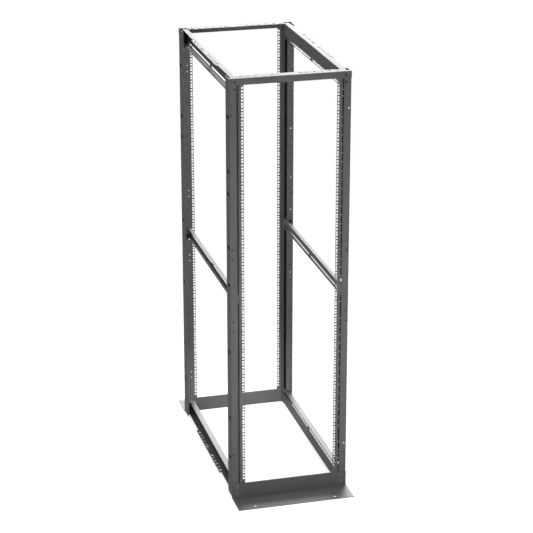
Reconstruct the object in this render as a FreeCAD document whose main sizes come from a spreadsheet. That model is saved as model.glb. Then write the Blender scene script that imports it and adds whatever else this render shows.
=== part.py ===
import FreeCAD, Part
import math
import os
import Sketcher

# Sizes in millimetres. X runs across the rack, Y from front to rear, Z up; the floor centre is the origin.
SIZES = {
    "rack_width": 588.0,
    "rack_depth": 1066.8,
    "rack_height": 2133.6,
    "floor_gap": 8.6,
    # Unit pattern of the mounting rails
    "unit_pitch": 44.45,
    "unit_count": 45,
    "hole_step": 15.875,
    "hole_side": 9.5,
    "column_inset": 7.15,
    "lowest_unit": 115.9,
    # Mounting rails
    "rail_face": 27.0,
    "rail_return": 40.0,
    "rail_wall": 2.5,
    "rail_bend": 3.0,
    "rail_post_gap": 6.0,
    # Posts
    "post_width": 35.6,
    "post_depth": 74.0,
    "post_wall": 2.5,
    "post_bend": 3.5,
    "notch_reach": 26.6,
    "notch_clear": 7.0,
    "notch_corner": 12.0,
    "side_slot_length": 50.0,
    "side_slot_height": 16.0,
    "side_slot_inset": 30.0,
    # Side channels at top and bottom
    "channel_wall": 2.0,
    "channel_bend": 3.0,
    "channel_height": 79.1,
    "channel_flange": 28.0,
    "channel_tab_reach": 38.1,
    "channel_tab_length": 520.0,
    "channel_slot_height": 11.0,
    "channel_slot_lift": 5.5,
    "channel_slot_start": 14.0,
    "channel_slot_margin": 44.4,
    "end_tab_reach": 32.6,
    # Struts at half height
    "strut_wall": 2.0,
    "strut_height": 50.8,
    "strut_level": 1047.8,
    "strut_flange": 18.6,
    "strut_slot_height": 11.0,
    "strut_slot_drop": 4.0,
    # Bars over the front and rear
    "bar_wall": 2.5,
    "bar_bend": 3.5,
    "bar_face": 31.9,
    "bar_flange": 50.0,
    "bar_end_flange": 19.0,
    "bar_end_inset": 42.0,
    # Floor angles
    "base_wall": 4.0,
    "base_leg": 76.2,
    "base_floor_leg": 147.1,
    "floor_hole": 16.0,
    "floor_hole_spacing": 407.0,
    "floor_hole_inset": 28.0,
}

# Side slots of each post: heights of the lower ones over the floor, drops of the upper ones from the top.
SLOT_RISES = {
    "slot_rise_a": 212.0,
    "slot_rise_b": 423.0,
    "slot_rise_c": 770.0,
    "slot_rise_d": 1116.0,
}
SLOT_DROPS = {
    "slot_drop_a": 186.1,
    "slot_drop_b": 451.1,
    "slot_drop_c": 560.1,
    "slot_drop_d": 826.1,
}

doc = FreeCAD.newDocument("open_frame_rack")
sheet = doc.addObject("Spreadsheet::Sheet", "sizes")
ALL_SIZES = {**SIZES, **SLOT_RISES, **SLOT_DROPS}
for row, (alias, number) in enumerate(ALL_SIZES.items(), start=1):
    sheet.set(f"A{row}", alias)
    sheet.set(f"B{row}", str(number))
    sheet.setAlias(f"B{row}", alias)
doc.recompute()


class Size:
    """A length together with the sheet expression that drives it."""

    def __init__(self, value, text):
        self.value = value
        self.text = text

    def __add__(self, other):
        return Size(self.value + other.value, f"({self.text} + {other.text})")

    def __sub__(self, other):
        return Size(self.value - other.value, f"({self.text} - {other.text})")

    def __mul__(self, factor):
        return Size(self.value * factor, f"({self.text} * {factor})")

    def __truediv__(self, divisor):
        return Size(self.value / divisor, f"({self.text} / {divisor})")


def size(alias):
    """Returns the sheet's value of one alias."""
    return Size(float(ALL_SIZES[alias]), f"sizes.{alias}")


ZERO = Size(0.0, "0")
HALF_WIDTH = size("rack_width") / 2
HALF_DEPTH = size("rack_depth") / 2
POST_FACE = HALF_DEPTH - size("bar_wall")
FRAME_TOP = size("rack_height") - size("bar_wall")
POST_INNER = HALF_WIDTH - size("post_width")
RAIL_OUTER = POST_INNER - size("rail_post_gap")
RAIL_INNER = RAIL_OUTER - size("rail_face")
POST_BACK = POST_FACE - size("post_depth")
TAB_FACE = POST_FACE - size("post_wall")
UPRIGHT_LENGTH = FRAME_TOP - size("floor_gap")
CHANNEL_LOW = FRAME_TOP - size("channel_height")
STRUT_LOW = size("strut_level") - size("strut_height") / 2
STRUT_HIGH = size("strut_level") + size("strut_height") / 2

AXES = {"XY": "XY_Plane", "XZ": "XZ_Plane", "YZ": "YZ_Plane"}
TOUCH = 1e-4


def origin_feature(body, role):
    """Returns the body's own origin plane or axis of that role."""
    return next(item for item in body.Origin.OriginFeatures if item.Role == role)


def new_body(label):
    """Adds an empty body whose label is the node's name."""
    body = doc.addObject("PartDesign::Body", label)
    body.Label = label
    return body


def new_sketch(body, plane, offset=None):
    """Adds a sketch on one of the body's origin planes, shifted along its normal by a size."""
    sketch = body.newObject("Sketcher::SketchObject", f"{body.Label}_sketch")
    sketch.AttachmentSupport = (origin_feature(body, AXES[plane]), [""])
    sketch.MapMode = "FlatFace"
    if offset is not None:
        sketch.setExpression("AttachmentOffset.Base.z", offset.text)
    return sketch


def pin(sketch, element, point, across, up):
    """Fixes one point of a sketch element at two sizes from the sketch's origin."""
    for kind, axis, length in (("DistanceX", -2, across), ("DistanceY", -1, up)):
        if length.text == ZERO.text:
            sketch.addConstraint(Sketcher.Constraint("PointOnObject", element, point, axis))
            continue
        row = sketch.addConstraint(Sketcher.Constraint(kind, -1, 1, element, point, length.value))
        sketch.setExpression(f"Constraints[{row}]", length.text)


def outline(sketch, corners):
    """Draws a closed outline through corners given as pairs of sizes."""
    points = [FreeCAD.Vector(across.value, up.value, 0) for across, up in corners]
    lines = [
        sketch.addGeometry(Part.LineSegment(start, points[(index + 1) % len(points)]))
        for index, start in enumerate(points)
    ]
    for index, line in enumerate(lines):
        following = lines[(index + 1) % len(lines)]
        sketch.addConstraint(Sketcher.Constraint("Coincident", line, 2, following, 1))
        pin(sketch, line, 1, *corners[index])


def rectangle(sketch, low, high):
    """Draws an upright rectangle between two opposite corners."""
    outline(sketch, [low, (high[0], low[1]), high, (low[0], high[1])])


def circle(sketch, centre, diameter):
    """Draws a circle with its centre and diameter driven by sizes."""
    place = FreeCAD.Vector(centre[0].value, centre[1].value, 0)
    ring = sketch.addGeometry(Part.Circle(place, FreeCAD.Vector(0, 0, 1), diameter.value / 2))
    row = sketch.addConstraint(Sketcher.Constraint("Diameter", ring, diameter.value))
    sketch.setExpression(f"Constraints[{row}]", diameter.text)
    pin(sketch, ring, 3, *centre)


def obround(sketch, first, second, width):
    """Draws a slot with round ends between two centres."""
    radius = width.value / 2
    normal = FreeCAD.Vector(0, 0, 1)
    start = FreeCAD.Vector(first[0].value, first[1].value, 0)
    stop = FreeCAD.Vector(second[0].value, second[1].value, 0)
    heading = math.atan2(stop.y - start.y, stop.x - start.x)
    quarter = math.pi / 2
    rise = FreeCAD.Vector(-math.sin(heading), math.cos(heading), 0) * radius
    near_ring = Part.Circle(start, normal, radius)
    far_ring = Part.Circle(stop, normal, radius)
    near = sketch.addGeometry(Part.ArcOfCircle(near_ring, heading + quarter, heading + 3 * quarter))
    low = sketch.addGeometry(Part.LineSegment(start - rise, stop - rise))
    far = sketch.addGeometry(Part.ArcOfCircle(far_ring, heading - quarter, heading + quarter))
    high = sketch.addGeometry(Part.LineSegment(stop + rise, start + rise))
    ring = [near, low, far, high]
    for index, element in enumerate(ring):
        following = ring[(index + 1) % len(ring)]
        sketch.addConstraint(Sketcher.Constraint("Tangent", element, 2, following, 1))
    row = sketch.addConstraint(Sketcher.Constraint("Diameter", near, width.value))
    sketch.setExpression(f"Constraints[{row}]", width.text)
    pin(sketch, near, 3, *first)
    pin(sketch, far, 3, *second)


def pad(body, sketch, length, midplane=False):
    """Thickens a sketch along its plane's normal, or to both sides of it."""
    feature = body.newObject("PartDesign::Pad", f"{body.Label}_pad")
    feature.Profile = sketch
    feature.Midplane = midplane
    feature.setExpression("Length", length.text)
    sketch.Visibility = False
    doc.recompute()
    return feature


def pocket(body, sketch, depth=None, towards_normal=False):
    """Cuts a sketch through the body, or to a depth; normally against its plane's normal."""
    before = body.Shape.Volume
    feature = body.newObject("PartDesign::Pocket", f"{body.Label}_pocket")
    feature.Profile = sketch
    feature.Reversed = towards_normal
    if depth is None:
        feature.Type = "ThroughAll"
    else:
        feature.setExpression("Length", depth.text)
    sketch.Visibility = False
    doc.recompute()
    if body.Shape.Volume >= before:
        raise RuntimeError(f"{feature.Label} cuts nothing")
    return feature


def mirrored(body, features, plane):
    """Repeats features on the other side of one of the body's origin planes."""
    feature = body.newObject("PartDesign::Mirrored", f"{body.Label}_mirrored")
    feature.Originals = features
    feature.MirrorPlane = (origin_feature(body, AXES[plane]), [""])
    body.Tip = feature
    doc.recompute()
    return feature


def bend(body, radius, lines):
    """Rounds the straight edges along one axis whose two other coordinates are given."""
    names = []
    for number, edge in enumerate(body.Shape.Edges, start=1):
        ends = [vertex.Point for vertex in edge.Vertexes]
        for place in lines:
            gaps = [abs(getattr(end, axis) - at.value) for end in ends for axis, at in place.items()]
            if len(ends) == 2 and max(gaps) < TOUCH:
                names.append(f"Edge{number}")
    if len(names) != len(lines):
        raise RuntimeError(f"{body.Label}: {len(names)} of {len(lines)} bend lines found")
    flat = body.Tip
    feature = body.newObject("PartDesign::Fillet", f"{body.Label}_bend")
    feature.Base = (flat, names)
    feature.setExpression("Radius", radius.text)
    doc.recompute()
    return feature


def build_rail():
    """Folds one angle rail, rear right, and punches the square holes of every unit."""
    body = new_body("rail_rear_right")
    wall = size("rail_wall")
    edge = POST_FACE - size("rail_return")
    profile = new_sketch(body, "XY", size("floor_gap"))
    outline(profile, [
        (RAIL_INNER, POST_FACE),
        (RAIL_INNER, POST_FACE - wall),
        (RAIL_OUTER - wall, POST_FACE - wall),
        (RAIL_OUTER - wall, edge),
        (RAIL_OUTER, edge),
        (RAIL_OUTER, POST_FACE),
    ])
    pad(body, profile, UPRIGHT_LENGTH)
    bend(body, size("rail_bend"), [{"x": RAIL_OUTER, "y": POST_FACE}])
    squares = new_sketch(body, "XZ")
    half = size("hole_side") / 2
    column = RAIL_INNER + size("column_inset")
    centre = size("lowest_unit")
    for level in (centre - size("hole_step"), centre, centre + size("hole_step")):
        rectangle(squares, (column - half, level - half), (column + half, level + half))
    punch = pocket(body, squares)
    row = body.newObject("PartDesign::LinearPattern", "rail_units")
    row.Originals = [punch]
    row.Direction = (origin_feature(body, "Z_Axis"), [""])
    row.setExpression("Length", "sizes.unit_pitch * (sizes.unit_count - 1)")
    row.setExpression("Occurrences", "sizes.unit_count")
    body.Tip = row
    doc.recompute()
    return body


def build_post():
    """Folds one C-channel post, rear right, with its notches and side slots."""
    body = new_body("post_rear_right")
    wall = size("post_wall")
    side = HALF_WIDTH - wall
    profile = new_sketch(body, "XY", size("floor_gap"))
    outline(profile, [
        (POST_INNER, POST_BACK),
        (HALF_WIDTH, POST_BACK),
        (HALF_WIDTH, POST_FACE),
        (POST_INNER, POST_FACE),
        (POST_INNER, POST_FACE - wall),
        (side, POST_FACE - wall),
        (side, POST_BACK + wall),
        (POST_INNER, POST_BACK + wall),
    ])
    pad(body, profile, UPRIGHT_LENGTH)
    bend(body, size("post_bend"), [
        {"x": HALF_WIDTH, "y": POST_BACK},
        {"x": HALF_WIDTH, "y": POST_FACE},
    ])

    notches = new_sketch(body, "XZ")
    clear = size("notch_clear")
    inner = POST_INNER - clear
    outer = POST_INNER + size("notch_reach")
    low_edge = size("floor_gap") + size("channel_height") + clear
    strut_edges = (STRUT_LOW - clear, STRUT_HIGH + clear)
    high_edge = CHANNEL_LOW - clear
    rectangle(notches, (inner, ZERO), (outer, low_edge))
    rectangle(notches, (inner, strut_edges[0]), (outer, strut_edges[1]))
    rectangle(notches, (inner, high_edge), (outer, size("rack_height")))
    pocket(body, notches, POST_BACK + wall + wall)
    corners = [low_edge, *strut_edges, high_edge]
    bend(body, size("notch_corner"), [{"x": outer, "z": level} for level in corners])

    slots = new_sketch(body, "YZ")
    middle = POST_FACE - size("side_slot_inset")
    reach = size("side_slot_length") / 2
    rise = size("side_slot_height") / 2
    levels = [size(alias) for alias in SLOT_RISES] + [FRAME_TOP - size(alias) for alias in SLOT_DROPS]
    for level in levels:
        rectangle(slots, (middle - reach, level - rise), (middle + reach, level + rise))
    pocket(body, slots, towards_normal=True)
    return body


def build_side_member(label, low, high, wall, flange, slot_level, slot_height):
    """Folds one right-hand side channel with slotted web and its two end tabs."""
    body = new_body(label)
    lip = RAIL_OUTER + flange
    profile = new_sketch(body, "XZ")
    outline(profile, [
        (RAIL_OUTER, low),
        (lip, low),
        (lip, low + wall),
        (RAIL_OUTER + wall, low + wall),
        (RAIL_OUTER + wall, high - wall),
        (lip, high - wall),
        (lip, high),
        (RAIL_OUTER, high),
    ])
    pad(body, profile, TAB_FACE * 2, midplane=True)
    tab = new_sketch(body, "XY", low)
    reach = RAIL_OUTER + size("end_tab_reach")
    rectangle(tab, (RAIL_OUTER, TAB_FACE - wall), (reach, TAB_FACE))
    end = pad(body, tab, high - low)
    mirrored(body, [end], "XZ")
    bend(body, size("channel_bend"), [{"x": RAIL_OUTER, "z": low}, {"x": RAIL_OUTER, "z": high}])
    slot = new_sketch(body, "YZ")
    radius = slot_height / 2
    start = size("channel_slot_start") + radius
    stop = TAB_FACE - size("channel_slot_margin") - radius
    obround(slot, (start, slot_level), (stop, slot_level), slot_height)
    cut = pocket(body, slot, towards_normal=True)
    mirrored(body, [cut], "XZ")
    return body


def build_channel():
    """Folds the top right channel: a side member with a mid-span tab on its top flange."""
    slot_level = CHANNEL_LOW + size("channel_slot_lift") + size("channel_slot_height") / 2
    wall = size("channel_wall")
    body = build_side_member(
        "top_channel_right", CHANNEL_LOW, FRAME_TOP, wall, size("channel_flange"),
        slot_level, size("channel_slot_height"),
    )
    tab = new_sketch(body, "XZ")
    lip = RAIL_OUTER + size("channel_flange")
    rectangle(tab, (lip, FRAME_TOP - wall), (RAIL_OUTER + size("channel_tab_reach"), FRAME_TOP))
    pad(body, tab, size("channel_tab_length"), midplane=True)
    return body


def build_strut():
    """Folds the right strut at half height, its slots a little below the web's middle."""
    slot_level = size("strut_level") - size("strut_slot_drop")
    return build_side_member(
        "mid_strut_right", STRUT_LOW, STRUT_HIGH, size("strut_wall"), size("strut_flange"),
        slot_level, size("strut_slot_height"),
    )


def build_bar():
    """Folds the rear top bar: a face over posts and rails, and a top flange cut back over the posts."""
    body = new_body("top_bar_rear")
    wall = size("bar_wall")
    height = size("rack_height")
    end = HALF_WIDTH - size("bar_end_inset")
    face = new_sketch(body, "YZ")
    deep = HALF_DEPTH - size("bar_flange")
    outline(face, [
        (deep, FRAME_TOP),
        (POST_FACE, FRAME_TOP),
        (POST_FACE, height - size("bar_face")),
        (HALF_DEPTH, height - size("bar_face")),
        (HALF_DEPTH, height),
        (deep, height),
    ])
    pad(body, face, size("rack_width"), midplane=True)
    bend(body, size("bar_bend"), [{"y": HALF_DEPTH, "z": height}])
    notch = new_sketch(body, "XY")
    rectangle(notch, (end, deep - wall), (HALF_WIDTH + wall, HALF_DEPTH - size("bar_end_flange")))
    corner = pocket(body, notch, towards_normal=True)
    mirrored(body, [corner], "YZ")
    return body


def build_base():
    """Folds the rear floor angle with its floor-bolt holes."""
    body = new_body("base_angle_rear")
    wall = size("base_wall")
    tip = POST_FACE + size("base_floor_leg")
    profile = new_sketch(body, "YZ")
    outline(profile, [
        (POST_FACE, ZERO),
        (tip, ZERO),
        (tip, wall),
        (POST_FACE + wall, wall),
        (POST_FACE + wall, size("base_leg")),
        (POST_FACE, size("base_leg")),
    ])
    pad(body, profile, size("rack_width"), midplane=True)
    holes = new_sketch(body, "XY")
    circle(holes, (size("floor_hole_spacing") / 2, tip - size("floor_hole_inset")), size("floor_hole"))
    hole = pocket(body, holes, towards_normal=True)
    mirrored(body, [hole], "YZ")
    return body


def reflect(label, source, normal, height=None):
    """Adds the mirror image of a piece across a plane through the origin, or at a height."""
    image = doc.addObject("Part::Mirroring", label)
    image.Label = label
    image.Source = source
    image.Normal = FreeCAD.Vector(*normal)
    if height is not None:
        image.setExpression("Base.z", height.text)
    return image


ACROSS = (1, 0, 0)
ALONG = (0, 1, 0)
UPWARD = (0, 0, 1)


def four_corners(kind, body):
    """Adds the other three corners of a piece made for the rear right."""
    left = reflect(f"{kind}_rear_left", body, ACROSS)
    front_right = reflect(f"{kind}_front_right", body, ALONG)
    front_left = reflect(f"{kind}_front_left", left, ALONG)
    return [body, left, front_right, front_left]


pieces = four_corners("rail", build_rail()) + four_corners("post", build_post())
channel = build_channel()
strut = build_strut()
bar = build_bar()
base = build_base()
turn_level = size("floor_gap") + UPRIGHT_LENGTH / 2
lower_channel = reflect("bottom_channel_right", channel, UPWARD, turn_level)
pieces += [
    channel,
    reflect("top_channel_left", channel, ACROSS),
    lower_channel,
    reflect("bottom_channel_left", lower_channel, ACROSS),
    strut,
    reflect("mid_strut_left", strut, ACROSS),
    bar,
    reflect("top_bar_front", bar, ALONG),
    base,
    reflect("base_angle_front", base, ALONG),
]
doc.recompute()

for item in doc.Objects:
    if "Invalid" in item.State or "Error" in item.State:
        raise RuntimeError(f"{item.Label} is not computed: {item.State}")
os.makedirs("parts", exist_ok=True)
for piece in pieces:
    if piece.Shape.isNull() or not piece.Shape.isValid() or len(piece.Shape.Solids) != 1:
        raise RuntimeError(f"{piece.Label} is not one valid solid")
    piece.Shape.exportStep(f"parts/{piece.Label}.step")
    print(piece.Label, round(piece.Shape.Volume))
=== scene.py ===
"""Looks of a four-post open frame rack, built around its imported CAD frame."""

import logging
import math
from collections.abc import Callable
from dataclasses import dataclass, field
from enum import Enum

import bmesh
import bpy
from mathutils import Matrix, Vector


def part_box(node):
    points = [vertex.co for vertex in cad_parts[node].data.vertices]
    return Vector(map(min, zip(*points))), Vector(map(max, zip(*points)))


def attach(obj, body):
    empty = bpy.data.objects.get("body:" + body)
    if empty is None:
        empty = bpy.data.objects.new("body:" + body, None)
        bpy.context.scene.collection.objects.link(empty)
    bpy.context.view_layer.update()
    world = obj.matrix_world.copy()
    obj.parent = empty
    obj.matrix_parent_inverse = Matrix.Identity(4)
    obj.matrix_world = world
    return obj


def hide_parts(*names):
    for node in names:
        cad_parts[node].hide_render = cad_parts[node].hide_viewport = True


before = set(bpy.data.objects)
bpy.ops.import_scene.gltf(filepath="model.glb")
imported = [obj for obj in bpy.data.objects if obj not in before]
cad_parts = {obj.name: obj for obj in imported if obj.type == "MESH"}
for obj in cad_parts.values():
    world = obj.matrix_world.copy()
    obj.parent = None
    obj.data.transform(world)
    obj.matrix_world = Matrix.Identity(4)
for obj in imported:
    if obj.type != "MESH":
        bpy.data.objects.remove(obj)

log = logging.getLogger("open_frame_rack")

BODY = "root"
RAILS_AND_STRUTS = (
    "rail_front_left", "rail_front_right", "rail_rear_left", "rail_rear_right",
    "mid_strut_left", "mid_strut_right",
)
FLOOR_ANGLES = ("base_angle_front", "base_angle_rear")

MERGE_GAP = 0.00001
SHARP_ANGLE = math.radians(32.0)
FLAT_WEIGHT = 100

Place = tuple[float, float, float]
Colour = tuple[float, float, float]
Box = tuple[Vector, Vector]

ROUND: Place = (1.0, 1.0, 1.0)


class Side(Enum):
    """Left or right of the rack, as the sign of X."""

    LEFT = -1
    RIGHT = 1


class End(Enum):
    """Front or rear of the rack, as the sign of Y."""

    FRONT = -1
    REAR = 1


class Level(Enum):
    """Top or base of the rack."""

    TOP = "top"
    BASE = "base"


class Bore(Enum):
    """Direction in which a hole runs, as the turn of an upright punch."""

    ACROSS = (0.0, math.pi / 2, 0.0)
    ALONG = (math.pi / 2, 0.0, 0.0)
    UPWARD = (0.0, 0.0, 0.0)


@dataclass(frozen=True)
class PaintFinish:
    """Satin powder coat on folded sheet steel.

    Lengths are in metres and colours are linear. An edge begins to look worn where the
    rounded normal agrees with the flat one by edge_start, and is fully worn at edge_full.
    """

    name: str = "charcoal_powder_coat"
    tone: Colour = (0.105, 0.101, 0.104)
    tone_light: Colour = (0.117, 0.113, 0.116)
    edge_tone: Colour = (0.146, 0.142, 0.145)
    specular: float = 0.20
    roughness_low: float = 0.64
    roughness_high: float = 0.74
    cloud_size: float = 0.25
    cloud_detail: float = 4.0
    peel_size: float = 0.0022
    peel_detail: float = 2.0
    peel_height: float = 0.000006
    peel_strength: float = 0.5
    edge_radius: float = 0.0009
    edge_samples: int = 4
    edge_start: float = 0.98
    edge_full: float = 0.80

    def material(self) -> bpy.types.Material:
        """Builds the node material.

        Returns:
            The new material.
        """
        made = bpy.data.materials.new(self.name)
        made.use_nodes = True
        nodes = made.node_tree.nodes
        links = made.node_tree.links
        shader = nodes["Principled BSDF"]
        shader.inputs["Specular IOR Level"].default_value = self.specular
        place = nodes.new("ShaderNodeTexCoord")

        cloud = nodes.new("ShaderNodeTexNoise")
        cloud.inputs["Scale"].default_value = 1.0 / self.cloud_size
        cloud.inputs["Detail"].default_value = self.cloud_detail
        links.new(place.outputs["Object"], cloud.inputs["Vector"])

        shade = nodes.new("ShaderNodeMix")
        shade.data_type = "RGBA"
        shade.inputs["A"].default_value = (*self.tone, 1.0)
        shade.inputs["B"].default_value = (*self.tone_light, 1.0)
        links.new(cloud.outputs["Fac"], shade.inputs["Factor"])

        rounded = nodes.new("ShaderNodeBevel")
        rounded.samples = self.edge_samples
        rounded.inputs["Radius"].default_value = self.edge_radius
        flat = nodes.new("ShaderNodeNewGeometry")
        agree = nodes.new("ShaderNodeVectorMath")
        agree.operation = "DOT_PRODUCT"
        links.new(rounded.outputs["Normal"], agree.inputs[0])
        links.new(flat.outputs["Normal"], agree.inputs[1])
        edge = nodes.new("ShaderNodeMapRange")
        edge.inputs["From Min"].default_value = self.edge_start
        edge.inputs["From Max"].default_value = self.edge_full
        links.new(agree.outputs["Value"], edge.inputs["Value"])

        worn = nodes.new("ShaderNodeMix")
        worn.data_type = "RGBA"
        worn.inputs["B"].default_value = (*self.edge_tone, 1.0)
        links.new(shade.outputs["Result"], worn.inputs["A"])
        links.new(edge.outputs["Result"], worn.inputs["Factor"])
        links.new(worn.outputs["Result"], shader.inputs["Base Color"])

        gloss = nodes.new("ShaderNodeMapRange")
        gloss.inputs["To Min"].default_value = self.roughness_low
        gloss.inputs["To Max"].default_value = self.roughness_high
        links.new(cloud.outputs["Fac"], gloss.inputs["Value"])
        links.new(gloss.outputs["Result"], shader.inputs["Roughness"])

        peel = nodes.new("ShaderNodeTexNoise")
        peel.inputs["Scale"].default_value = 1.0 / self.peel_size
        peel.inputs["Detail"].default_value = self.peel_detail
        links.new(place.outputs["Object"], peel.inputs["Vector"])
        bump = nodes.new("ShaderNodeBump")
        bump.inputs["Strength"].default_value = self.peel_strength
        bump.inputs["Distance"].default_value = self.peel_height
        links.new(peel.outputs["Fac"], bump.inputs["Height"])
        links.new(bump.outputs["Normal"], shader.inputs["Normal"])
        return made


# Painted shade: a coat about seven times darker than the open paint. It goes on faces inside the post
# hollows and on hole walls, in place of the shade that falls there.
PAINTED_SHADE_COAT = PaintFinish(
    name="thin_coat_in_recesses",
    tone=(0.014, 0.0135, 0.014),
    tone_light=(0.018, 0.0175, 0.018),
    edge_tone=(0.028, 0.027, 0.028),
    specular=0.12,
)


LOW_COAT = PaintFinish(
    name="smooth_coat_near_floor",
    specular=0.10,
    roughness_low=0.50,
    roughness_high=0.56,
)


@dataclass(frozen=True)
class Coats:
    """The coat on open faces, and a much darker coat of painted shade for faces in recesses and on hole
    walls.
    """

    open: bpy.types.Material
    painted_shade: bpy.types.Material


@dataclass(frozen=True)
class BoltFinish:
    """Grainy finish of bolt heads, black oxide unless told otherwise."""

    name: str = "black_oxide"
    tone: Colour = (0.006, 0.006, 0.0065)
    tone_light: Colour = (0.011, 0.011, 0.0115)
    specular: float = 0.15
    roughness: float = 0.55
    grain_size: float = 0.0015

    def material(self) -> bpy.types.Material:
        """Builds the node material.

        Returns:
            The new material.
        """
        made = bpy.data.materials.new(self.name)
        made.use_nodes = True
        nodes = made.node_tree.nodes
        links = made.node_tree.links
        shader = nodes["Principled BSDF"]
        shader.inputs["Roughness"].default_value = self.roughness
        shader.inputs["Specular IOR Level"].default_value = self.specular
        place = nodes.new("ShaderNodeTexCoord")
        grain = nodes.new("ShaderNodeTexNoise")
        grain.inputs["Scale"].default_value = 1.0 / self.grain_size
        links.new(place.outputs["Object"], grain.inputs["Vector"])
        shade = nodes.new("ShaderNodeMix")
        shade.data_type = "RGBA"
        shade.inputs["A"].default_value = (*self.tone, 1.0)
        shade.inputs["B"].default_value = (*self.tone_light, 1.0)
        links.new(grain.outputs["Fac"], shade.inputs["Factor"])
        links.new(shade.outputs["Result"], shader.inputs["Base Color"])
        return made


DULL_ZINC = BoltFinish(
    name="dull_zinc",
    tone=(0.17, 0.17, 0.175),
    tone_light=(0.22, 0.22, 0.225),
    specular=0.4,
    roughness=0.45,
)


class NodeTree:
    """A geometry node tree with named inputs, set on modifiers by their identifiers."""

    def __init__(self, name: str) -> None:
        """Starts an empty tree with a geometry output.

        Args:
            name: Name of the tree.
        """
        self.tree = bpy.data.node_groups.new(name, "GeometryNodeTree")
        self.tree.interface.new_socket("Geometry", in_out="OUTPUT", socket_type="NodeSocketGeometry")
        self.given = self.tree.nodes.new("NodeGroupInput")
        self.result = self.tree.nodes.new("NodeGroupOutput")
        self.identifiers: dict[str, str] = {}

    def takes(self, name: str, kind: str) -> None:
        """Adds a named input.

        Args:
            name: Name of the input.
            kind: Socket type, without its common prefix.
        """
        socket = self.tree.interface.new_socket(name, in_out="INPUT", socket_type=f"NodeSocket{kind}")
        self.identifiers[name] = socket.identifier

    def node(self, kind: str, **settings: object) -> bpy.types.Node:
        """Adds a geometry node.

        Args:
            kind: Node type, without its common prefix.
            **settings: Properties of the node.

        Returns:
            The new node.
        """
        made = self.tree.nodes.new(f"GeometryNode{kind}")
        for key, value in settings.items():
            setattr(made, key, value)
        return made

    def join(self, source: bpy.types.NodeSocket, target: bpy.types.NodeSocket) -> None:
        """Links two sockets.

        Args:
            source: Output socket.
            target: Input socket.
        """
        self.tree.links.new(source, target)

    def put_on(self, piece: bpy.types.Object, values: dict[str, object]) -> None:
        """Adds the tree to a piece as a modifier.

        Args:
            piece: Object that the tree works on.
            values: Values of the named inputs.
        """
        modifier = piece.modifiers.new(self.tree.name, "NODES")
        modifier.node_group = self.tree
        for name, value in values.items():
            modifier[self.identifiers[name]] = value


def punch_tree() -> NodeTree:
    """Makes the tree that punches a hole of one size at every point of a place object.

    Returns:
        The tree.
    """
    tree = NodeTree("punched_holes")
    tree.takes("Sheet", "Geometry")
    tree.takes("Places", "Object")
    tree.takes("Radius", "Float")
    tree.takes("Depth", "Float")
    tree.takes("Stretch", "Vector")
    tree.takes("Turn", "Vector")
    tree.takes("Sides", "Int")
    tree.takes("Coat", "Material")
    given = tree.given.outputs
    places = tree.node("ObjectInfo")
    punch = tree.node("MeshCylinder")
    coated = tree.node("SetMaterial")
    shaped = tree.node("Transform")
    spread = tree.node("InstanceOnPoints")
    real = tree.node("RealizeInstances")
    cut = tree.node("MeshBoolean", operation="DIFFERENCE", solver="EXACT")
    tree.join(given["Places"], places.inputs["Object"])
    tree.join(given["Sides"], punch.inputs["Vertices"])
    tree.join(given["Radius"], punch.inputs["Radius"])
    tree.join(given["Depth"], punch.inputs["Depth"])
    tree.join(punch.outputs["Mesh"], coated.inputs["Geometry"])
    tree.join(given["Coat"], coated.inputs["Material"])
    tree.join(coated.outputs["Geometry"], shaped.inputs["Geometry"])
    tree.join(given["Stretch"], shaped.inputs["Scale"])
    tree.join(given["Turn"], shaped.inputs["Rotation"])
    tree.join(places.outputs["Geometry"], spread.inputs["Points"])
    tree.join(shaped.outputs["Geometry"], spread.inputs["Instance"])
    tree.join(spread.outputs["Instances"], real.inputs["Geometry"])
    tree.join(given["Sheet"], cut.inputs[0])
    tree.join(real.outputs["Geometry"], cut.inputs[1])
    tree.join(cut.outputs["Mesh"], tree.result.inputs["Geometry"])
    return tree


def bolt_tree() -> NodeTree:
    """Makes the tree that sets a low domed head at every point of a place object.

    Returns:
        The tree.
    """
    tree = NodeTree("domed_heads")
    tree.takes("Places", "Geometry")
    tree.takes("Radius", "Float")
    tree.takes("Dome", "Vector")
    tree.takes("Turn", "Vector")
    tree.takes("Segments", "Int")
    tree.takes("Rings", "Int")
    tree.takes("Finish", "Material")
    given = tree.given.outputs
    dome = tree.node("MeshUVSphere")
    turned = tree.node("Transform")
    spread = tree.node("InstanceOnPoints")
    real = tree.node("RealizeInstances")
    painted = tree.node("SetMaterial")
    tree.join(given["Radius"], dome.inputs["Radius"])
    tree.join(given["Segments"], dome.inputs["Segments"])
    tree.join(given["Rings"], dome.inputs["Rings"])
    tree.join(dome.outputs["Mesh"], turned.inputs["Geometry"])
    tree.join(given["Dome"], turned.inputs["Scale"])
    tree.join(given["Turn"], turned.inputs["Rotation"])
    tree.join(given["Places"], spread.inputs["Points"])
    tree.join(turned.outputs["Geometry"], spread.inputs["Instance"])
    tree.join(spread.outputs["Instances"], real.inputs["Geometry"])
    tree.join(real.outputs["Geometry"], painted.inputs["Geometry"])
    tree.join(given["Finish"], painted.inputs["Material"])
    tree.join(painted.outputs["Geometry"], tree.result.inputs["Geometry"])
    return tree


def point_object(name: str, places: list[Place]) -> bpy.types.Object:
    """Makes an object whose vertices mark places.

    Args:
        name: Name of the object.
        places: Points in metres.

    Returns:
        The linked object.
    """
    mesh = bpy.data.meshes.new(name)
    mesh.from_pydata(places, [], [])
    made = bpy.data.objects.new(name, mesh)
    bpy.context.scene.collection.objects.link(made)
    return made


def within(point: Vector, low: Vector, high: Vector) -> bool:
    """Tells whether a point lies in a box.

    Args:
        point: The point.
        low: Lowest corner of the box.
        high: Highest corner of the box.

    Returns:
        Whether it lies inside.
    """
    return all(least < value < most for least, value, most in zip(low, point, high))


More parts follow.
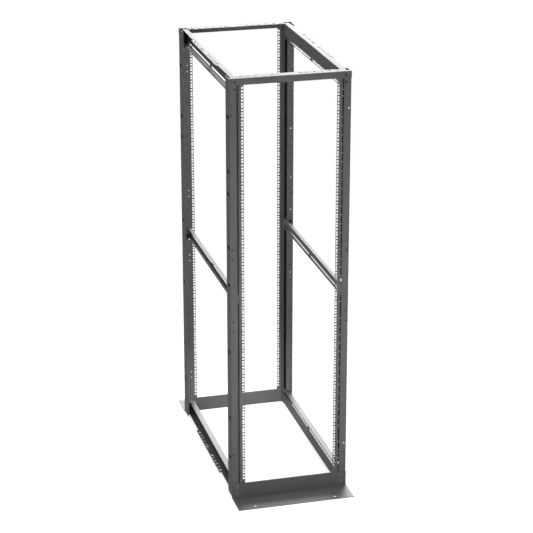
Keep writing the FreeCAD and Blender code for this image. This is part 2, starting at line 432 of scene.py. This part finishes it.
def sheet_copy(node: str, coats: Coats, painted_shade_boxes: list[Box]) -> bpy.types.Object:
    """Copies a CAD node's mesh, merged and painted, as a new piece.

    Args:
        node: Name of the CAD node.
        coats: Finishes of the sheet.
        painted_shade_boxes: Boxes whose faces take the darker coat of painted shade.

    Returns:
        The linked copy.
    """
    shape = bmesh.new()
    shape.from_mesh(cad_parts[node].data)
    bmesh.ops.remove_doubles(shape, verts=shape.verts, dist=MERGE_GAP)
    for face in shape.faces:
        middle = face.calc_center_median()
        # Faces in these boxes take the second material, the darker coat of painted shade.
        face.material_index = int(any(within(middle, *painted_shade) for painted_shade in painted_shade_boxes))
    mesh = bpy.data.meshes.new(f"{node}_sheet")
    mesh.materials.append(coats.open)
    mesh.materials.append(coats.painted_shade)
    shape.to_mesh(mesh)
    shape.free()
    made = bpy.data.objects.new(f"{node}_sheet", mesh)
    bpy.context.scene.collection.objects.link(made)
    return made


def settle(piece: bpy.types.Object, name: str) -> bpy.types.Object:
    """Turns a piece and its modifiers into a plain mesh with smooth bends.

    Args:
        piece: Object with its modifiers.
        name: Name of the finished piece.

    Returns:
        The finished piece, at the origin.
    """
    graph = bpy.context.evaluated_depsgraph_get()
    mesh = bpy.data.meshes.new_from_object(piece.evaluated_get(graph))
    mesh.name = name
    mesh.polygons.foreach_set("use_smooth", [True] * len(mesh.polygons))
    mesh.set_sharp_from_angle(angle=SHARP_ANGLE)
    made = bpy.data.objects.new(name, mesh)
    bpy.context.scene.collection.objects.link(made)
    bpy.data.objects.remove(piece)
    even = made.modifiers.new("even_flats", "WEIGHTED_NORMAL")
    even.keep_sharp = True
    even.weight = FLAT_WEIGHT
    graph = bpy.context.evaluated_depsgraph_get()
    flat = bpy.data.meshes.new_from_object(made.evaluated_get(graph))
    made.modifiers.clear()
    made.data = flat
    bpy.data.meshes.remove(mesh)
    flat.name = name
    return made


@dataclass
class HoleRow:
    """Like holes that one punch makes in a sheet.

    Lengths are in metres.
    """

    places: list[Place]
    radius: float
    bore: Bore
    stretch: Place = ROUND
    depth: float = 0.012
    sides: int = 20

    def punch(self, piece: bpy.types.Object, tree: NodeTree, coat: bpy.types.Material) -> bpy.types.Object:
        """Adds the punch to a sheet.

        Args:
            piece: Sheet that is punched.
            tree: Tree of the punch.
            coat: Finish of the hole walls.

        Returns:
            The place object, to be removed once the sheet is settled.
        """
        marks = point_object(f"{piece.name}_marks", self.places)
        tree.put_on(piece, {
            "Places": marks,
            "Radius": self.radius,
            "Depth": self.depth,
            "Stretch": self.stretch,
            "Turn": self.bore.value,
            "Sides": self.sides,
            "Coat": coat,
        })
        return marks


def punched(
    node: str, rows: list[HoleRow], tree: NodeTree, coats: Coats, painted_shade_boxes: list[Box]
) -> bpy.types.Object:
    """Makes the perforated piece that stands for a CAD node.

    Args:
        node: Name of the CAD node.
        rows: Hole rows to punch.
        tree: Tree of the punch.
        coats: Finishes of the sheet.
        painted_shade_boxes: Boxes whose faces take the darker coat of painted shade.

    Returns:
        The finished piece.
    """
    sheet = sheet_copy(node, coats, painted_shade_boxes)
    # Hole walls take the darker coat of painted shade.
    marks = [row.punch(sheet, tree, coats.painted_shade) for row in rows]
    piece = settle(sheet, f"{node}_punched")
    for mark in marks:
        bpy.data.objects.remove(mark)
    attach(piece, BODY)
    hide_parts(node)
    log.info("%s: %d faces", piece.name, len(piece.data.polygons))
    return piece


def outer_face(node: str, end: End) -> float:
    """Finds the face of a CAD node that looks out of the rack.

    Args:
        node: Name of the CAD node.
        end: End of the rack at which it stands.

    Returns:
        Y of the face.
    """
    low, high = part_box(node)
    return low.y if end is End.FRONT else high.y


def inner_face(node: str, end: End) -> float:
    """Finds the face of a CAD node that looks into the rack.

    Args:
        node: Name of the CAD node.
        end: End of the rack at which it stands.

    Returns:
        Y of the face.
    """
    low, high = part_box(node)
    return high.y if end is End.FRONT else low.y


@dataclass
class UnitScale:
    """The rack units that the hole rows keep to."""

    pitch: float = 0.04445
    count: int = 45
    lowest: float = 0.1159
    hole_step: float = 0.015875

    def level(self, unit: int) -> float:
        """Height of a unit's middle.

        Args:
            unit: Number of the unit, from 0 at the lowest.

        Returns:
            The height.
        """
        return self.lowest + unit * self.pitch

    def levels(self) -> list[float]:
        """Heights of all units' middles.

        Returns:
            The heights, from the lowest.
        """
        return [self.level(unit) for unit in range(self.count)]


@dataclass
class Post:
    """One C-channel post with its small round holes."""

    side: Side
    end: End
    units: UnitScale = field(default_factory=UnitScale)
    dot_line_front: float = 0.2733
    dot_line_rear: float = 0.2780
    dot_radius: float = 0.0033
    pair_units: tuple[int, ...] = (3, 18, 26, 41)
    pair_dot_line: float = 0.2686
    end_dot: float = 0.138
    undotted_unit: int = 42
    notch_clear: float = 0.012
    face_pair_line: float = 0.2825
    face_pair_step: float = 0.0241
    face_pair_offsets: tuple[float, ...] = (-0.887, -0.1824, 0.1824, 0.887)
    face_pair_radius: float = 0.0041
    low_side_holes: tuple[tuple[float, float], ...] = ((0.057, 0.103), (0.023, 0.103), (0.044, 0.041))
    low_side_radius: float = 0.0042
    wall_inset: float = 0.0024

    @property
    def node(self) -> str:
        """Name of the CAD node."""
        return f"post_{self.end.name.lower()}_{self.side.name.lower()}"

    def blocked(self, level: float) -> bool:
        """Tells whether a level of the inner wall lies in or near a notch.

        Args:
            level: Height on the wall.

        Returns:
            Whether a notch takes that place.
        """
        spans = [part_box(name) for name in ("bottom_channel_left", "mid_strut_left", "top_channel_left")]
        return any(low.z - self.notch_clear < level < high.z + self.notch_clear for low, high in spans)

    def rack_top(self) -> float:
        """Height of the rack.

        Returns:
            Top of the front bar.
        """
        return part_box("top_bar_front")[1].z

    def wall_dots(self) -> list[Place]:
        """Places of the unit dots on the inner wall.

        Returns:
            Points on the wall.
        """
        wall = inner_face(self.node, self.end)
        line = self.side.value * (self.dot_line_front if self.end is End.FRONT else self.dot_line_rear)
        pair_line = self.side.value * self.pair_dot_line
        dots: list[Place] = [(line, wall, self.end_dot), (line, wall, self.rack_top() - self.end_dot)]
        for unit, level in enumerate(self.units.levels()):
            if unit in self.pair_units:
                for step in (-self.units.hole_step, self.units.hole_step):
                    dots.append((pair_line, wall, level + step))
            elif unit != self.undotted_unit:
                dots.append((line, wall, level))
        return [dot for dot in dots if not self.blocked(dot[2])]

    def face_pairs(self) -> list[Place]:
        """Places of the accessory hole pairs on the outer face.

        Returns:
            Points on the face.
        """
        face = outer_face(self.node, self.end)
        middle = self.units.level(self.units.count // 2)
        line = self.side.value * self.face_pair_line
        steps = (-self.face_pair_step, self.face_pair_step)
        return [(line, face, middle + offset + step) for offset in self.face_pair_offsets for step in steps]

    def side_face(self) -> tuple[float, float]:
        """Finds the two outer faces of the post.

        Returns:
            X of the side wall and Y of the outer face.
        """
        low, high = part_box(self.node)
        wall = low.x if self.side is Side.LEFT else high.x
        return wall, outer_face(self.node, self.end)

    def low_holes(self) -> list[Place]:
        """Places of the larger holes low on the side wall.

        Returns:
            Points on the side wall.
        """
        wall, face = self.side_face()
        return [(wall, face - self.end.value * inset, level) for inset, level in self.low_side_holes]

    def hollow(self) -> Box:
        """Finds the space inside the post's walls, open towards the rail.

        Returns:
            Lowest and highest corner.
        """
        low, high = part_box(self.node)
        inset = Vector((self.wall_inset, self.wall_inset, self.wall_inset))
        return low + inset, high - inset

    def build(self, tree: NodeTree, coats: Coats) -> bpy.types.Object:
        """Makes the punched post.

        Args:
            tree: Tree of the punch.
            coats: Finishes of the post.

        Returns:
            The finished piece.
        """
        rows = [
            HoleRow(self.wall_dots(), self.dot_radius, Bore.ALONG),
            HoleRow(self.face_pairs(), self.face_pair_radius, Bore.ALONG),
            HoleRow(self.low_holes(), self.low_side_radius, Bore.ACROSS),
        ]
        # The post's hollow takes the darker coat of painted shade.
        return punched(self.node, rows, tree, coats, [self.hollow()])


@dataclass
class CableHoles:
    """The two mirrored groups of cable holes that bars and channel tabs share."""

    round_places: tuple[float, ...] = (0.0825, 0.1206, 0.1587, 0.1968)
    oval_places: tuple[float, ...] = (0.055, 0.231)
    radius: float = 0.0052
    oval_stretch: float = 1.6

    def mirrored(self, places: tuple[float, ...]) -> list[float]:
        """Sets distances off on both sides of the middle.

        Args:
            places: Distances on one side.

        Returns:
            The distances on both sides, with their signs.
        """
        return [sign * place for sign in (-1, 1) for place in places]

    def rows(self, point: Callable[[float], Place], oval: Place) -> list[HoleRow]:
        """Makes the rows of round and of oval holes.

        Args:
            point: Gives the point at a distance from the middle.
            oval: Stretch of the oval holes.

        Returns:
            The two rows.
        """
        shapes = ((self.round_places, ROUND), (self.oval_places, oval))
        return [
            HoleRow([point(along) for along in self.mirrored(places)], self.radius, Bore.UPWARD, stretch)
            for places, stretch in shapes
        ]


@dataclass
class TopBar:
    """The bar over the front or rear, with cable holes in its top flange."""

    end: End
    holes: CableHoles = field(default_factory=CableHoles)
    hole_inset: float = 0.031

    def build(self, tree: NodeTree, coats: Coats) -> bpy.types.Object:
        """Makes the punched bar.

        Args:
            tree: Tree of the punch.
            coats: Finishes of the bar.

        Returns:
            The finished piece.
        """
        node = f"top_bar_{self.end.name.lower()}"
        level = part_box(node)[1].z
        line = outer_face(node, self.end) - self.end.value * self.hole_inset
        rows = self.holes.rows(lambda along: (along, line, level), (self.holes.oval_stretch, 1.0, 1.0))
        return punched(node, rows, tree, coats, [])


@dataclass
class SideChannel:
    """A side channel at the top or bottom, with cable holes in its tab."""

    side: Side
    at_top: bool
    holes: CableHoles = field(default_factory=CableHoles)
    hole_inset: float = 0.011

    def build(self, tree: NodeTree, coats: Coats) -> bpy.types.Object:
        """Makes the punched channel.

        Args:
            tree: Tree of the punch.
            coats: Finishes of the channel.

        Returns:
            The finished piece.
        """
        node = f"{'top' if self.at_top else 'bottom'}_channel_{self.side.name.lower()}"
        low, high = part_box(node)
        edge = low.x if self.side is Side.LEFT else high.x
        line = edge - self.side.value * self.hole_inset
        level = high.z if self.at_top else low.z
        rows = self.holes.rows(lambda along: (line, along, level), (1.0, self.holes.oval_stretch, 1.0))
        # Faces inside the posts' hollows take the darker coat of painted shade.
        return punched(node, rows, tree, coats, [Post(self.side, end).hollow() for end in End])


@dataclass
class Bolts:
    """Domed heads that hold one end of the rack together, at its top or its base."""

    end: End
    level: Level
    line: float = 0.2675
    base_heights: tuple[float, ...] = (0.0221, 0.0576)
    post_heights: tuple[float, ...] = (2.0821,)
    bar_heights: tuple[float, ...] = (2.1176,)
    base_wall: float = 0.004
    radius: float = 0.0050
    dome: Place = (1.0, 1.0, 0.4)
    segments: int = 20
    rings: int = 10

    def faces(self) -> list[tuple[float, tuple[float, ...]]]:
        """Y of the faces under the heads, each with the heights of its heads.

        Returns:
            Pairs of a face and its heights.
        """
        end = self.end.name.lower()
        if self.level is Level.BASE:
            inner = inner_face(f"base_angle_{end}", self.end)
            return [(inner + self.end.value * self.base_wall, self.base_heights)]
        return [
            (outer_face(f"post_{end}_left", self.end), self.post_heights),
            (outer_face(f"top_bar_{end}", self.end), self.bar_heights),
        ]

    def build(self, tree: NodeTree, finish: bpy.types.Material) -> bpy.types.Object:
        """Makes the bolt heads as one mesh.

        Args:
            tree: Tree of the heads.
            finish: Finish of the heads.

        Returns:
            The finished piece.
        """
        name = f"bolts_{self.end.name.lower()}_{self.level.value}"
        marks = point_object(f"{name}_marks", [
            (side.value * self.line, face, height)
            for face, heights in self.faces() for height in heights for side in Side
        ])
        tree.put_on(marks, {
            "Radius": self.radius,
            "Dome": self.dome,
            "Turn": (-self.end.value * math.pi / 2, 0.0, 0.0),
            "Segments": self.segments,
            "Rings": self.rings,
            "Finish": finish,
        })
        piece = settle(marks, name)
        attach(piece, BODY)
        log.info("%s: %d faces", piece.name, len(piece.data.polygons))
        return piece


@dataclass
class PlainNodes:
    """CAD nodes that keep their own shape and only take a coat of paint."""

    names: tuple[str, ...]

    def dress(self, paint: bpy.types.Material) -> None:
        """Paints the nodes.

        Args:
            paint: Finish of the nodes.
        """
        for name in self.names:
            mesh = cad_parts[name].data
            mesh.materials.clear()
            mesh.materials.append(paint)
            log.info("%s painted", name)


@dataclass(frozen=True)
class Lamp:
    """A soft box that the camera doesn't see.

    Lengths are in metres. A radiance of 1 is that of a white surface. The spread is the full
    angle of the beam in degrees. A lamp that is shine_only shows in the sheen of surfaces alone.
    """

    name: str
    place: Place
    target: Place
    width: float
    height: float
    radiance: float
    spread: float = 180.0
    shine_only: bool = False

    def build(self) -> None:
        """Adds the lamp to the scene."""
        light = bpy.data.lights.new(self.name, "AREA")
        light.shape = "RECTANGLE"
        light.size = self.width
        light.size_y = self.height
        light.energy = self.radiance * math.pi * self.width * self.height
        light.spread = math.radians(self.spread)
        made = bpy.data.objects.new(self.name, light)
        made.location = self.place
        made.rotation_mode = "QUATERNION"
        made.rotation_quaternion = (Vector(self.target) - Vector(self.place)).to_track_quat("-Z", "Y")
        made.visible_camera = False
        made.visible_diffuse = not self.shine_only
        bpy.context.scene.collection.objects.link(made)


RACK_MIDDLE = (0.0, 0.0, 1.05)

LAMPS = (
    Lamp("key", (-2.4, -13.0, 2.6), RACK_MIDDLE, width=3.0, height=4.0, radiance=16.5),
    Lamp("pool", (0.3, -3.0, 3.2), (0.3, -3.0, 0.0), width=2.5, height=1.5, radiance=17.5, spread=66.0),
    Lamp("top", (0.0, 0.6, 6.0), (0.0, 0.6, 0.0), width=5.0, height=5.0, radiance=2.4),
    Lamp("back", (2.4, 6.0, 3.4), (0.0, 0.0, 1.6), width=4.4, height=4.0, radiance=34.0, shine_only=True),
    Lamp("rear_fill", (1.0, 11.0, 2.4), RACK_MIDDLE, width=3.0, height=3.0, radiance=11.0),
    Lamp("side_fill", (11.0, 0.6, 2.4), RACK_MIDDLE, width=3.0, height=3.0, radiance=9.0),
    Lamp(
        "rear_base", (0.0, -0.3, 0.42), (0.0, 0.54, 0.03),
        width=0.44, height=0.14, radiance=4.6, spread=62.0,
    ),
)


@dataclass
class Studio:
    """White floor, sky, soft lamps and the camera.

    The floor keeps a shadow as far as shadow_near and is plain white from shadow_far on.
    """

    floor_half: float = 30.0
    floor_colour: Colour = (0.70, 0.70, 0.70)
    floor_glow: float = 0.70
    shadow_near: float = 1.5
    shadow_far: float = 4.5
    world_strength: float = 0.09
    camera_place: Place = (-2.3301, -8.8361, 4.3595)
    camera_azimuth: float = -14.926
    camera_elevation: float = 20.1605
    camera_lens: float = 129.90
    camera_sensor: float = 36.0
    camera_reach: float = 200.0

    def floor(self) -> None:
        """Lays a floor that stays white to the camera and keeps the rack's shadow."""
        mesh = bpy.data.meshes.new("floor")
        half = self.floor_half
        edge = (-half, half)
        corner_places = [(x, y, 0.0) for y in edge for x in edge]
        mesh.from_pydata(corner_places, [], [(0, 1, 3, 2)])
        made = bpy.data.objects.new("floor", mesh)
        bpy.context.scene.collection.objects.link(made)
        material = bpy.data.materials.new("white_floor")
        material.use_nodes = True
        nodes = material.node_tree.nodes
        links = material.node_tree.links
        nodes.remove(nodes["Principled BSDF"])
        place = nodes.new("ShaderNodeTexCoord")
        away = nodes.new("ShaderNodeVectorMath")
        away.operation = "LENGTH"
        links.new(place.outputs["Object"], away.inputs[0])
        rim = nodes.new("ShaderNodeMapRange")
        rim.interpolation_type = "SMOOTHSTEP"
        rim.inputs["From Min"].default_value = self.shadow_near
        rim.inputs["From Max"].default_value = self.shadow_far
        links.new(away.outputs["Value"], rim.inputs["Value"])
        diffuse = nodes.new("ShaderNodeBsdfDiffuse")
        tone = nodes.new("ShaderNodeMix")
        tone.data_type = "RGBA"
        tone.inputs["A"].default_value = (*self.floor_colour, 1.0)
        tone.inputs["B"].default_value = (0.0, 0.0, 0.0, 1.0)
        links.new(rim.outputs["Result"], tone.inputs["Factor"])
        links.new(tone.outputs["Result"], diffuse.inputs["Color"])
        glow = nodes.new("ShaderNodeEmission")
        level = nodes.new("ShaderNodeMapRange")
        level.inputs["To Min"].default_value = self.floor_glow
        level.inputs["To Max"].default_value = 1.0
        links.new(rim.outputs["Result"], level.inputs["Value"])
        shown = nodes.new("ShaderNodeMath")
        shown.operation = "MULTIPLY"
        links.new(level.outputs["Result"], shown.inputs[0])
        links.new(self.seen_rays(nodes, links), shown.inputs[1])
        links.new(shown.outputs["Value"], glow.inputs["Strength"])
        both = nodes.new("ShaderNodeAddShader")
        links.new(diffuse.outputs["BSDF"], both.inputs[0])
        links.new(glow.outputs["Emission"], both.inputs[1])
        links.new(both.outputs["Shader"], nodes["Material Output"].inputs["Surface"])
        mesh.materials.append(material)

    def seen_rays(self, nodes: bpy.types.Nodes, links: bpy.types.NodeLinks) -> bpy.types.NodeSocket:
        """Adds nodes that give 1 for rays from the camera, a reflection or through glass.

        Args:
            nodes: Nodes of the material or world.
            links: Its links.

        Returns:
            The socket with the result.
        """
        path = nodes.new("ShaderNodeLightPath")
        first = nodes.new("ShaderNodeMath")
        first.operation = "MAXIMUM"
        links.new(path.outputs["Is Camera Ray"], first.inputs[0])
        links.new(path.outputs["Is Glossy Ray"], first.inputs[1])
        second = nodes.new("ShaderNodeMath")
        second.operation = "MAXIMUM"
        links.new(first.outputs["Value"], second.inputs[0])
        links.new(path.outputs["Is Transmission Ray"], second.inputs[1])
        return second.outputs["Value"]

    def world(self) -> None:
        """Sets a soft even sky, white where it is seen."""
        world = bpy.data.worlds.new("studio")
        bpy.context.scene.world = world
        world.use_nodes = True
        nodes = world.node_tree.nodes
        links = world.node_tree.links
        sky = nodes["Background"]
        seen = self.seen_rays(nodes, links)
        level = nodes.new("ShaderNodeMapRange")
        level.inputs["To Min"].default_value = self.world_strength
        level.inputs["To Max"].default_value = 1.0
        links.new(seen, level.inputs["Value"])
        links.new(level.outputs["Result"], sky.inputs["Strength"])
        sky.inputs["Color"].default_value = (1.0, 1.0, 1.0, 1.0)

    def camera(self) -> None:
        """Sets the camera at the photograph's viewpoint."""
        data = bpy.data.cameras.new("camera")
        data.sensor_width = self.camera_sensor
        data.lens = self.camera_lens
        data.clip_end = self.camera_reach
        made = bpy.data.objects.new("camera", data)
        azimuth = math.radians(self.camera_azimuth)
        elevation = math.radians(self.camera_elevation)
        ahead = Vector((
            -math.sin(azimuth) * math.cos(elevation),
            math.cos(azimuth) * math.cos(elevation),
            -math.sin(elevation),
        ))
        made.location = self.camera_place
        made.rotation_mode = "QUATERNION"
        made.rotation_quaternion = ahead.to_track_quat("-Z", "Y")
        bpy.context.scene.collection.objects.link(made)
        bpy.context.scene.camera = made

    def build(self) -> None:
        """Sets up floor, sky, lamps and camera."""
        self.floor()
        self.world()
        for lamp in LAMPS:
            lamp.build()
        self.camera()
        scene = bpy.context.scene
        scene.view_settings.view_transform = "Standard"


def main() -> None:
    """Builds every piece and the studio."""
    logging.basicConfig(level=logging.INFO, format="%(message)s")
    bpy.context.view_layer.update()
    # The second coat of both pairs is the darker painted shade for recesses and hole walls.
    coats = Coats(PaintFinish().material(), PAINTED_SHADE_COAT.material())
    low_coats = Coats(LOW_COAT.material(), coats.painted_shade)
    black = BoltFinish().material()
    zinc = DULL_ZINC.material()
    punch = punch_tree()
    heads = bolt_tree()
    PlainNodes(RAILS_AND_STRUTS).dress(coats.open)
    PlainNodes(FLOOR_ANGLES).dress(low_coats.open)
    for end in End:
        for side in Side:
            Post(side, end).build(punch, coats)
        TopBar(end).build(punch, coats)
        Bolts(end, Level.TOP).build(heads, black)
        Bolts(end, Level.BASE).build(heads, zinc)
    for side in Side:
        SideChannel(side, True).build(punch, coats)
        SideChannel(side, False).build(punch, low_coats)
    Studio().build()


if __name__ == "__main__":
    main()
